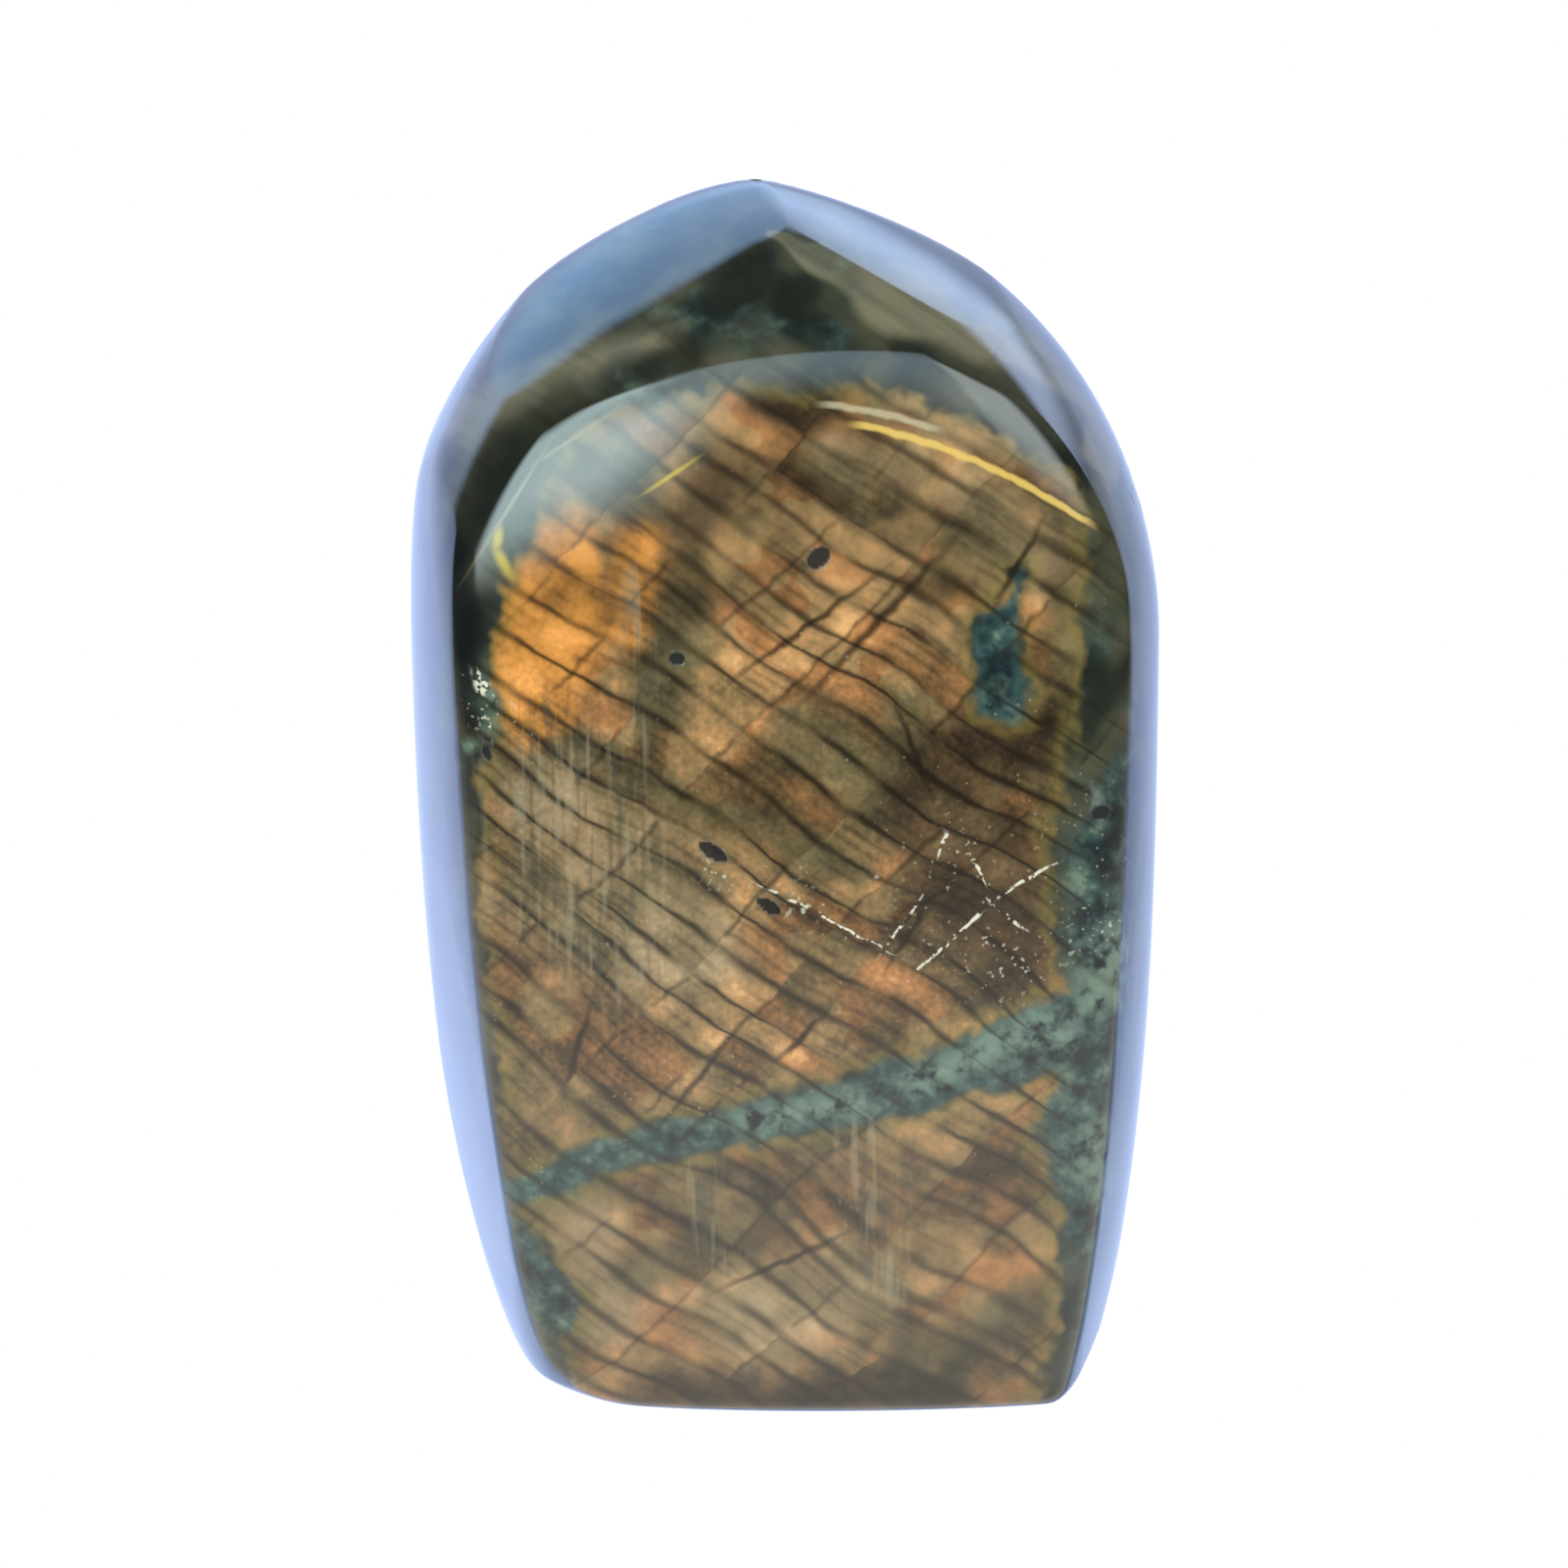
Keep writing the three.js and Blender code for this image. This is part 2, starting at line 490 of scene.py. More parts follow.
TRAILS: dict[Zone, tuple[Trail, ...]] = {
    Zone.AMBER: (
        Trail(((-17.0, 73.0, 2.6), (-18.6, 66.5, 5.2), (-19.5, 60.5, 3.4)), 0.35),
        Trail(((-11.2, 73.0, 1.6), (-12.6, 66.0, 1.6)), 0.7),
    ),
    Zone.TAN: (
        Trail(((-19.0, 54.5, 4.5), (-14.5, 46.0, 8.5), (-8.0, 41.0, 5.0))),
        Trail(((-16.5, 19.0, 2.5), (-15.0, 10.0, 4.0)), 0.6),
        Trail(((-2.0, 9.0, 5.0), (4.5, 12.0, 4.0)), 0.7),
        Trail(((4.0, 79.5, 2.0), (9.0, 79.0, 2.0)), 0.7),
        Trail(((15.0, 75.5, 2.6), (20.5, 71.5, 3.0)), 0.8),
    ),
    Zone.BROWN: (
        Trail(((11.5, 53.0, 4.5), (16.5, 45.0, 7.0), (18.5, 39.0, 3.5)), 0.5),
        Trail(((16.0, 57.0, 4.0), (19.5, 58.0, 3.5)), 0.6),
        Trail(((-2.0, 83.5, 1.2), (2.5, 83.0, 1.4)), 0.7),
        Trail(((-12.0, 2.0, 2.0), (14.0, 1.0, 2.0)), 0.8),
        Trail(((-5.0, 78.0, 2.4), (-8.0, 74.0, 2.0)), 0.8),
    ),
    Zone.OLIVE: (
        Trail(((-7.5, 68.0, 2.6), (-9.5, 60.0, 2.2)), 0.7),
        Trail(((-12.0, 77.0, 2.2), (-10.8, 70.0, 1.4), (-10.8, 57.0, 1.0)), 0.7),
        Trail(((3.0, 57.5, 3.5), (8.0, 53.0, 3.0), (9.5, 60.0, 2.0)), 0.6),
        Trail(((-18.0, 58.0, 0.8), (-6.0, 52.0, 1.6), (6.0, 47.0, 1.4)), 0.8),
        Trail(((10.0, 5.0, 2.2), (19.0, 9.0, 2.6)), 0.8),
        Trail(((-3.0, 17.0, 2.2), (-12.0, 13.0, 1.6)), 0.8),
        Trail(((22.0, 68.0, 1.4), (22.0, 58.0, 1.8)), 0.7),
    ),
    Zone.BRIGHT: (
        Trail(((-5.0, 63.5, 3.0), (3.0, 66.5, 4.5), (10.0, 66.0, 3.5)), 0.7),
        Trail(((0.0, 33.0, 3.0), (8.0, 36.0, 3.0)), 0.8),
        Trail(((-9.0, 44.0, 4.0), (3.0, 38.5, 4.0)), 0.7),
        Trail(((6.0, 80.0, 3.0), (17.0, 77.0, 3.4)), 0.8),
        Trail(((19.0, 75.0, 4.2), (22.0, 66.0, 3.4)), 0.8),
        Trail(((-5.0, 12.0, 5.5), (7.0, 9.5, 4.5)), 0.8),
        Trail(((-12.0, 31.0, 2.4), (-6.0, 29.0, 2.0)), 0.8),
        Trail(((-14.0, 17.0, 2.6), (-13.0, 9.0, 2.6)), 0.8),
    ),
    Zone.TEAL: (
        Trail(((-22.6, 18.9, 0.9), (-18.8, 21.0, 1.2), (-12.5, 23.9, 1.3), (-4.7, 25.8, 1.6),
               (2.3, 27.0, 1.9), (7.8, 28.6, 2.2), (15.6, 31.0, 2.4), (20.3, 32.6, 2.8),
               (27.0, 34.5, 4.0)), 0.3),
        Trail(((18.6, 70.6, 0.3), (17.0, 67.5, 1.0), (16.4, 64.5, 1.7), (17.2, 61.0, 2.0)), 0.35),
        Trail(((-21.6, 15.4, 1.8), (-20.4, 12.0, 2.2), (-18.6, 9.6, 2.2)), 0.4),
        Trail(((28.5, 53.0, 3.5), (27.0, 47.0, 4.6), (27.0, 38.0, 3.8)), 0.35),
        Trail(((28.0, 31.0, 5.5), (26.5, 24.5, 6.0), (29.0, 14.0, 5.0), (28.0, 3.0, 4.5)), 0.35),
    ),
    Zone.PALE: (
        Trail(((-3.5, 26.2, 0.9), (5.8, 28.0, 1.2)), 0.7),
        Trail(((11.0, 30.0, 1.3), (22.0, 34.0, 1.6)), 0.8),
        Trail(((26.0, 40.0, 2.2), (25.0, 36.5, 1.8)), 0.7),
        Trail(((25.5, 24.0, 2.2), (27.0, 19.0, 2.0)), 0.8),
        Trail(((-24.0, 61.8, 1.1), (-23.6, 60.6, 0.9)), 0.5),
        Trail(((-23.5, 58.6, 0.8),), 0.6),
        Trail(((-24.8, 57.0, 0.6),), 0.6),
    ),
    Zone.HEART: (
        Trail(((16.8, 61.8, 1.0),), 0.8),
        Trail(((-18.0, 10.4, 1.1),), 0.7),
        Trail(((-21.6, 13.6, 1.0),), 0.7),
        Trail(((-7.6, 66.9, 0.8), (-8.8, 65.6, 0.7)), 0.9),
        Trail(((17.6, 67.6, 0.5),), 0.9),
        Trail(((-26.0, 71.0, 1.4), (-25.6, 66.0, 1.6), (-24.6, 59.0, 1.0)), 0.7),
        Trail(((26.5, 51.0, 1.0), (25.6, 47.5, 1.2)), 0.8),
        Trail(((28.6, 53.0, 1.8), (28.2, 43.0, 1.6)), 0.9),
        Trail(((27.0, 27.5, 1.2), (28.5, 18.0, 2.0), (27.0, 7.0, 1.8)), 0.9),
    ),
    Zone.STREAK: (
        Trail(((-17.5, 56.0, 5.5), (-16.5, 48.0, 7.5), (-14.0, 40.0, 4.5)), 0.5),
        Trail(((6.0, 24.5, 2.4), (8.5, 13.0, 2.4)), 0.6),
        Trail(((-11.3, 70.0, 1.2), (-11.3, 57.0, 1.6)), 0.7),
        Trail(((-7.0, 22.0, 1.4), (-5.0, 15.0, 1.6)), 0.8),
    ),
    Zone.FLAKE: (
        Trail(((9.5, 47.5, 3.0), (15.5, 44.5, 6.5), (18.5, 39.0, 3.5)), 0.5),
        Trail(((-5.0, 47.5, 1.2), (4.0, 42.6, 1.4)), 0.7),
        Trail(((24.5, 50.0, 2.6), (24.5, 42.0, 2.6)), 0.6),
        Trail(((-24.0, 61.8, 1.3), (-23.6, 59.8, 1.2)), 0.6),
    ),
    Zone.STRAP: (
        Trail(((-25.8, 79.8, 1.4), (-18.5, 84.2, 1.5), (-12.3, 86.8, 1.2), (-7.7, 88.8, 0.6)), 0.6),
        Trail(((-0.6, 94.8, 0.3), (6.2, 91.7, 1.5), (12.3, 89.0, 1.8), (18.5, 85.7, 1.8), (24.1, 80.7, 1.6),
               (26.1, 76.7, 1.0)), 0.4),
    ),
    Zone.DUSK: (
        Trail(((-25.4, 72.1, 1.2), (-24.6, 75.1, 1.5), (-21.5, 79.7, 1.8), (-17.6, 82.8, 1.6),
               (-12.3, 85.2, 1.3), (-7.7, 87.0, 1.2)), 0.6),
        Trail(((-8.5, 88.2, 1.0), (-6.5, 88.9, 0.8)), 0.9),
        Trail(((0.0, 91.7, 0.7), (0.8, 89.6, 0.9)), 0.9),
        Trail(((9.0, 87.6, 0.8), (12.3, 86.8, 1.0), (18.4, 84.1, 1.1), (23.1, 80.5, 1.0)), 0.6),
    ),
}


@dataclass(frozen=True)
class FrontMap:
    """Where the crystal's lamellae, its flash and its patches lie, kept as attributes of the stone's mesh.

    Lengths are in millimetres. The flash ends at its arched top and at the left and right borders, which are
    given as pairs of Z and X. The seed keeps the noise that sways and frays the marks the same in every run.
    """

    lamella_fall: float = 0.70
    lamella_bow: float = -0.0012
    lamella_dip: float = 0.3
    joint_rise: float = 1.0
    joint_sway: float = 1.5
    sway: float = 1.7
    sway_size: float = 14.0
    fray: float = 0.9
    fray_size: float = 4.0
    sharp_height: float = 45.0
    sharp_half: float = 12.0
    blur_reach: float = 22.0
    arc_top: float = 85.4
    arc_bow: float = 0.0145
    front_from: float = -9.0
    front_sway: float = 5.0
    front_fade: float = 4.0
    brow_from: float = 2.0
    brow_fade: float = 6.0
    rear_from: float = 3.0
    rear_fade: float = 8.0
    # Depth in a pit where the pit field is full. The field makes the pit matt and paints shade into it as
    # near black.
    pit_dark: float = 0.1
    inset_reach: float = 6.0
    seed: int = 2
    left: tuple[tuple[float, float], ...] = (
        (0.0, -17.5), (5.0, -17.8), (12.7, -20.5), (22.8, -22.4), (29.5, -22.9), (37.5, -24.0), (45.6, -24.4),
        (53.6, -24.3), (60.0, -22.8), (65.4, -23.0), (70.0, -22.2), (73.0, -20.4), (78.6, -17.5),
    )
    right: tuple[tuple[float, float], ...] = (
        (0.0, 20.5), (5.7, 21.8), (12.7, 22.5), (19.6, 22.6), (35.3, 23.6), (39.4, 22.3), (44.3, 21.4),
        (49.8, 21.2), (53.7, 22.6), (61.5, 23.8), (69.2, 24.0), (75.3, 23.6), (78.3, 22.6),
    )

    def write(self, mesh: bpy.types.Mesh, points: np.ndarray, sunk: np.ndarray) -> None:
        """Stores the map on the mesh.

        Args:
            mesh: the stone's mesh.
            points: its vertices as rows of X, Y, Z in millimetres.
            sunk: how deep each vertex lies in a pit.
        """
        seed_set(self.seed)
        sway = np.array([noise_vector(Vector(p) / self.sway_size) for p in points])
        x, y, z = (points + self.sway * sway).T
        deep, high = points[:, 1], points[:, 2]
        slant = math.hypot(1.0, self.joint_rise)
        fields = {
            "across": z + x * (self.lamella_fall + self.lamella_bow * x) + self.lamella_dip * y,
            "along": (z - self.joint_rise * x) / slant + self.joint_sway * sway[:, 0],
            "soft": smooth((np.abs(high - self.sharp_height) - self.sharp_half) / self.blur_reach),
            "arc": high + self.arc_bow * points[:, 0] ** 2,
            "rear": smooth((deep - self.rear_from) / self.rear_fade),
            "pit": smooth(sunk / self.pit_dark),
        }
        fray = np.array([noise_vector(Vector(p) / self.fray_size) for p in points])
        x, _, z = (points + self.fray * fray).T
        front = smooth((self.front_from + self.front_sway * sway[:, 1] - deep) / self.front_fade)
        brow = smooth((self.brow_from - deep) / self.brow_fade)
        for zone in Zone:
            masks = [trail.mask(x, z) for trail in TRAILS[zone]]
            fields[zone.value] = np.maximum.reduce(masks) * (brow if zone in BROW_ZONES else front)
        fields["inset"] = self.inset(x, deep, z)
        for name, values in fields.items():
            attribute = mesh.attributes.new(name, "FLOAT", "POINT")
            attribute.data.foreach_set("value", values.astype(np.float32))

    def inset(self, x: np.ndarray, y: np.ndarray, z: np.ndarray) -> np.ndarray:
        """How far points lie within the copper flash.

        Args:
            x: X of each point.
            y: Y of each point.
            z: Z of each point.

        Returns:
            Distances from the border of the flash, negative outside.
        """
        heights, borders = np.array(self.left).T
        deep = x - np.interp(z, heights, borders)
        heights, borders = np.array(self.right).T
        deep = np.minimum(deep, np.interp(z, heights, borders) - x)
        deep = np.minimum(deep, self.arc_top - self.arc_bow * x * x - z)
        deep = np.minimum(deep, self.front_from - y)
        for trail in TRAILS[Zone.TEAL]:
            deep = np.minimum(deep, trail.gap(x, z)[0])
        return np.clip(deep, -self.inset_reach, self.inset_reach)


@dataclass(frozen=True)
class Seam:
    """A thin line on the front between two points of X and Z, with its half width, in millimetres.

    It shows where the surface lies within its reach of the front's usual Y.
    """

    start: tuple[float, float]
    end: tuple[float, float]
    half: float = 0.26
    y: float = -17.0
    reach: float = 12.0


@dataclass(frozen=True)
class Arch:
    """A thin line along the arched top of the flash, in millimetres.

    The level is its height over the stone's middle. It runs in X from start to end and fades over its taper.
    The border gives where its edge ends and where the line is full, in half widths.
    """

    level: float
    half: float
    start: float
    end: float
    taper: float = 2.0
    border: tuple[float, float] = (1.5, 0.4)


@dataclass(frozen=True)
class Coat:
    """One colour, or a ramp of colours from dark to light, and how much of it shows at most."""

    colours: tuple[str, ...]
    strength: float


@dataclass(frozen=True)
class PolishedLabradorite:
    """Labradorite feldspar, lapped and polished to a wet gloss.

    The eye gets a clear mirror skin over a dark grey-green body. On the front the twin lamellae of the
    crystal flash in copper, cut by dark lamella lines that fall to the right, by cross cracks and by a
    blue-green vein. On the back they flash in blue.
    """

    name: str = "polished labradorite"
    ior: float = 1.56
    polish: float = 0.03
    polish_change: float = 0.02
    matt: float = 0.9

    # Real sizes in millimetres. Grains and crumbs are drawn coarser than real ones, so that they show.
    sawn_mm: float = 0.3
    lamella_mm: float = 3.6
    fine_lamella_mm: float = 1.5
    joint_mm: float = 7.0
    ragged_mm: float = 1.7
    cloud_mm: float = 5.5
    crumb_mm: float = 0.5
    grain_mm: float = 0.45
    streak_mm: Point = (0.75, 6.0, 8.0)
    fray_mm: float = 0.7
    arch_wave_mm: float = 0.5
    ahead_mm: tuple[float, float] = (-5.5, -3.5)

    # Half widths of the dark lines, as shares of the spacing between them.
    line_half: float = 0.075
    line_swell: float = 0.12
    line_blur: float = 0.08
    fine_line_half: float = 0.28
    joint_half: float = 0.06

    # What makes one cell of the flash lighter or darker than the next.
    tone_start: float = -0.3
    tone_cell: float = 0.34
    tone_lumps: float = 0.36
    tone_ragged: float = 0.46
    tone_crumb: float = 0.22
    tone_fine: float = 0.3
    tone_bright: float = 0.2
    band_shuffle: float = 7.31
    joint_shuffle: float = 11.7
    rust_shuffle: float = 5.7

    copper: tuple[str, ...] = ("#2a2116", "#493b28", "#695236", "#826542", "#a1754c", "#c4925f")
    body: tuple[str, ...] = ("#181b15", "#24261f", "#323328", "#3d3b2c", "#484434")
    amber: Coat = Coat(("#56361a", "#8c5c2a", "#b87838", "#d98f4a", "#efb684"), 0.95)
    rust: Coat = Coat(("#25170c", "#4a2e17", "#704526", "#955c33", "#c0804f"), 0.6)
    tan: Coat = Coat(("#3f3524", "#5c4e37", "#736146", "#887357", "#9d8768"), 0.8)
    brown: Coat = Coat(("#18120c", "#281e15", "#382b1d", "#463828", "#594935"), 0.85)
    olive: Coat = Coat(("#211f13", "#342e1e", "#473f2a", "#584f36", "#6b6144"), 0.85)
    olive_haze: float = 0.6
    teal: Coat = Coat(("#0d1517", "#182629", "#293b3b", "#41534c", "#617061"), 0.95)
    teal_haze: float = 0.35
    blue: Coat = Coat(("#0c1216", "#14212b", "#1f3446", "#2f5069", "#5d849c"), 0.6)
    pale: Coat = Coat(("#687869",), 0.75)
    heart: Coat = Coat(("#0b1113",), 0.85)
    strap: Coat = Coat(("#6c634e",), 0.95)
    dusk: Coat = Coat(("#161914",), 0.75)
    fringe_yellow: Coat = Coat(("#6c5e2e",), 0.5)
    fringe_cyan: Coat = Coat(("#3c5854",), 0.3)
    lamella_line: Coat = Coat(("#1c150d",), 0.9)
    fine_line: Coat = Coat(("#1c150d",), 0.4)
    joint_line: Coat = Coat(("#1c150d",), 0.6)
    crack: Coat = Coat(("#1c150d",), 0.85)
    streak_light: Coat = Coat(("#8a8470",), 0.3)
    streak_dark: Coat = Coat(("#393d36",), 0.45)
    grain: Coat = Coat(("#ab9f84",), 0.35)
    flake: Coat = Coat(("#d8cfba",), 0.75)
    chip: Coat = Coat(("#d8cfba",), 0.42)
    gold: Coat = Coat(("#c9a355",), 0.85)
    cream: Coat = Coat(("#b3a382",), 0.6)
    yellow: Coat = Coat(("#b39a2b",), 0.7)
    thread: Coat = Coat(("#6f6650",), 0.7)
    # Painted shade: near black laid into the pits by their depth, in place of the shade that falls inside the
    # holes.
    pit: Coat = Coat(("#0a0908",), 0.95)

    gold_arch: Arch = Arch(level=82.4, half=0.29, start=4.5, end=25.0)
    cream_arch: Arch = Arch(level=83.6, half=0.27, start=2.0, end=13.0)
    cross_seams: tuple[Seam, ...] = (
        Seam((-3.5, 62.6), (7.0, 70.2)),
        Seam((2.2, 61.2), (12.6, 72.4), half=0.34),
        Seam((16.6, 68.2), (20.0, 74.0)),
        Seam((-15.3, 36.0), (-17.4, 29.0)),
        Seam((-4.0, 33.8), (-9.5, 26.2)),
        Seam((3.2, 35.2), (-0.6, 31.3)),
        Seam((8.0, 38.8), (11.5, 44.6)),
        Seam((11.4, 53.4), (9.0, 60.0)),
        Seam((-4.5, 12.0), (4.5, 16.5)),
    )
    white_seams: tuple[Seam, ...] = (
        Seam((-2.0, 46.0), (8.4, 40.4), half=0.11),
        Seam((21.4, 47.4), (16.8, 44.7), half=0.15),
        Seam((17.2, 45.0), (9.9, 38.2), half=0.15),
        Seam((11.2, 45.2), (7.6, 40.3), half=0.13),
        Seam((13.0, 50.8), (12.2, 48.2), half=0.15),
        Seam((14.3, 49.2), (16.0, 45.8), half=0.13),
        Seam((16.0, 44.6), (19.2, 42.0), half=0.13),
        Seam((-24.5, 62.6), (-23.2, 60.9), half=0.55),
        Seam((-23.9, 59.1), (-23.1, 58.2), half=0.4),
    )
    yellow_seams: tuple[Seam, ...] = (
        Seam((-22.3, 73.8), (-22.6, 72.0), half=0.35),
        Seam((-22.7, 72.3), (-21.4, 70.1), half=0.4),
        Seam((-10.6, 76.9), (-7.1, 79.2), half=0.16),
    )
    thread_seams: tuple[Seam, ...] = (
        Seam((-24.3, 71.0), (-19.2, 79.0), half=0.15),
        Seam((-19.2, 78.9), (-13.4, 82.7), half=0.15),
    )

    def build(self) -> bpy.types.Material:
        """Paints the finish.

        Returns:
            The stone's material.
        """
        material = bpy.data.materials.new(self.name)
        material.use_nodes = True
        return LabradoritePainter(self, material).paint()


class LabradoritePainter:
    """Lays the layers of the labradorite finish into one node tree."""

    def __init__(self, finish: PolishedLabradorite, material: bpy.types.Material) -> None:
        """Takes the finish and clears the material for it.

        Args:
            finish: the finish to paint.
            material: the material that receives it.
        """
        self.finish = finish
        self.material = material
        material.node_tree.nodes.clear()
        self.node = partial(add_node, material.node_tree)

    def paint(self) -> bpy.types.Material:
        """Lays all layers from the body colour up to the gloss.

        Returns:
            The finished material.
        """
        self.measure()
        colour = self.ground()
        for layer in (self.flash, self.lines, self.streaks, self.flakes, self.threads):
            colour = layer(colour)
        self.gloss(colour)
        return self.material

    def measure(self) -> None:
        """Prepares the stone's coordinates in millimetres, its noises and the fields of its mesh.

        Noise values lie mostly between 0.3 and 0.7, so masks that read a noise have their levels about there.
        """
        f, node = self.finish, self.node
        place = node("TexCoord", {}, out="Object")
        self.mm = node("VectorMath", {0: place, "Scale": 1 / MM}, operation="SCALE")
        self.x, _, self.z = node("SeparateXYZ", {0: self.mm}).node.outputs
        names = [zone.value for zone in Zone] + ["across", "along", "soft", "arc", "rear", "pit", "inset"]
        self.field = {name: node("Attribute", {}, out="Fac", attribute_name=name) for name in names}
        noises = [node("TexNoise", {"Vector": self.mm, "Scale": 1 / size, "Detail": 1.0}, out="Color")
                  for size in (f.ragged_mm, f.cloud_mm, f.crumb_mm)]
        split = [node("SeparateColor", {0: noise}).node.outputs for noise in noises]
        self.ragged, self.cloud, self.crumb = split
        swing = node("VectorMath", {0: noises[0], 1: (f.fray_mm,) * 3, 2: (-f.fray_mm / 2,) * 3},
                     operation="MULTIPLY_ADD")
        self.frayed = node("VectorMath", {0: self.mm, 1: swing}, operation="ADD")
        self.across = self.weigh((self.field["across"], 1.0), (self.ragged[0], 0.4), (self.cloud[2], 1.0))
        self.along = self.weigh((self.field["along"], 1.0), (self.ragged[1], 0.8))
        self.ahead = self.mask(self.field["inset"], *f.ahead_mm)

    def weigh(self, *parts: tuple[Value, float], start: float = 0.0) -> Socket:
        """Adds up values, each with its own weight.

        Args:
            parts: values and their weights.
            start: what is added to the sum.

        Returns:
            The sum.
        """
        total: Value = start
        for value, weight in parts:
            total = self.node("Math", {0: value, 1: weight, 2: total}, operation="MULTIPLY_ADD")
        return total

    def mask(self, value: Socket, low: Value, high: Value, *within: Socket, least: float = 0.0) -> Socket:
        """Soft mask that rises from one level of a value to another and stays within other masks.

        Args:
            value: the value to read.
            low: where the mask is at its least.
            high: where the mask is one.
            within: masks that hold it.
            least: the mask at the low level.

        Returns:
            The mask.
        """
        shown = self.node("MapRange", {0: value, 1: low, 2: high, 3: least}, **SMOOTHLY)
        for other in within:
            shown = self.node("Math", {0: shown, 1: other}, operation="MULTIPLY")
        return shown

    def lay(self, ground: Value, coat: Coat, mask: Socket, tone: Socket | None = None) -> Socket:
        """Lays a coat over a colour through a mask.

        Args:
            ground: the colour below.
            coat: what lies on top.
            mask: where the coat shows.
            tone: where on the coat's ramp each point lies, or none for a coat of one colour.

        Returns:
            The combined colour.
        """
        if tone is None:
            colour = linear(coat.colours[0])
        else:
            colour = self.node("ValToRGB", {0: tone}, stops=coat.colours)
        share = self.node("Math", {0: mask, 1: coat.strength}, operation="MULTIPLY")
        return self.node("Mix", {0: share, 6: ground, 7: colour}, **COLOURS)

    def seam(self, seam: Seam, place: Socket, soft: float = 0.8) -> Socket:
        """Mask of a thin line as a very slim oval.

        Args:
            seam: the line.
            place: coordinates to read.
            soft: softness of its border.

        Returns:
            One on the line and zero beside it.
        """
        (x0, z0), (x1, z1) = seam.start, seam.end
        local = self.node("Mapping", {
            "Vector": place,
            "Location": ((x0 + x1) / 2, seam.y, (z0 + z1) / 2),
            "Rotation": (0.0, -math.atan2(z1 - z0, x1 - x0), 0.0),
            "Scale": (math.hypot(x1 - x0, z1 - z0) / 2, seam.reach, seam.half),
        }, vector_type="TEXTURE")
        far = self.node("VectorMath", {0: local}, out="Value", operation="LENGTH")
        return self.mask(far, 1.0 + soft, 1.0 - soft)

    def strongest(self, masks: list[Socket]) -> Socket:
        """The strongest of several masks.

        Args:
            masks: one mask or more.

        Returns:
            At each point the highest of them.
        """
        top = masks[0]
        for mask in masks[1:]:
            top = self.node("Math", {0: top, 1: mask}, operation="MAXIMUM")
        return top

    def arch(self, arch: Arch) -> Socket:
        """Mask of a thin line along the arched top of the flash.

        Args:
            arch: the line.

        Returns:
            One on the line and zero beside it.
        """
        wave = self.finish.arch_wave_mm
        off = self.weigh((self.field["arc"], 1.0), (self.ragged[1], wave), start=-arch.level - wave / 2)
        off = self.node("Math", {0: off}, operation="ABSOLUTE")
        from_start = self.mask(self.x, arch.start, arch.start + arch.taper)
        from_end = self.mask(self.x, arch.end, arch.end - arch.taper)
        outer, inner = (share * arch.half for share in arch.border)
        return self.mask(off, outer, inner, from_start, from_end, self.ahead)

    def ground(self) -> Socket:
        """The dark grey-green body, with the vein and the teal patches on the front.

        Returns:
            The body colour.
        """
        f, field = self.finish, self.field
        clouds = self.mask(self.cloud[0], 0.3, 0.7)
        tone = self.weigh((clouds, 0.9), (self.ragged[2], 0.25), start=-0.08)
        colour = self.node("ValToRGB", {0: tone}, stops=f.body)
        colour = self.lay(colour, f.strap, field["strap"])
        colour = self.lay(colour, f.dusk, field["dusk"])
        mottle = self.weigh((self.ragged[0], 1.7), (self.cloud[0], 0.8), (self.crumb[0], 0.6), start=-1.05)
        haze = replace(f.teal, strength=f.teal_haze)
        colour = self.lay(colour, haze, self.mask(self.cloud[1], 0.5, 0.7), mottle)
        colour = self.lay(colour, f.teal, field["teal"], mottle)
        colour = self.lay(colour, f.pale, self.mask(mottle, 0.1, 0.6, field["pale"]))
        return self.lay(colour, f.heart, field["heart"])

    def flash(self, ground: Socket) -> Socket:
        """The front's copper flash, cell by cell between lamellae and cross joints, and the back's blue one.

        Args:
            ground: the body colour.

        Returns:
            The colour with the flash and its coloured fringe laid on.
        """
        f, node, field = self.finish, self.node, self.field
        band_at = {"W": self.across, "Scale": 1 / f.lamella_mm}
        joint_at = {"W": self.along, "Scale": 1 / f.joint_mm}
        band = node("SeparateColor", {0: node("TexVoronoi", band_at, out="Color", voronoi_dimensions="1D")})
        joint = node("SeparateColor", {0: node("TexVoronoi", joint_at, out="Color", voronoi_dimensions="1D")})
        self.band_gap = node("TexVoronoi", band_at, voronoi_dimensions="1D", feature="DISTANCE_TO_EDGE")
        self.joint_gap = node("TexVoronoi", joint_at, voronoi_dimensions="1D", feature="DISTANCE_TO_EDGE")
        mixed = self.weigh((band, f.band_shuffle), (joint, f.joint_shuffle))
        cell = node("Math", {0: mixed}, operation="FRACT")
        lumps = self.mask(self.cloud[2], 0.3, 0.7)
        fine = self.mask(field["soft"], 0.7, 0.0, self.weigh((self.crumb[0], 1.6), start=-0.3))
        tone = self.weigh((cell, f.tone_cell), (lumps, f.tone_lumps), (self.ragged[1], f.tone_ragged),
                          (self.crumb[2], f.tone_crumb), (fine, f.tone_fine),
                          (field["bright"], f.tone_bright), start=f.tone_start)
        shade = self.mask(self.band_gap, 0.0, 0.3, least=0.75)
        tone = node("Math", {0: tone, 1: shade}, operation="MULTIPLY")
        flash = node("ValToRGB", {0: tone}, stops=f.copper)
        mixed = self.weigh((cell, f.rust_shuffle), (self.cloud[2], 1.0))
        chosen = node("Math", {0: mixed}, operation="FRACT")
        flash = self.lay(flash, f.rust, self.mask(chosen, 0.5, 0.7), tone)
        haze = replace(f.olive, strength=f.olive_haze)
        flash = self.lay(flash, haze, self.mask(self.cloud[1], 0.5, 0.66), tone)
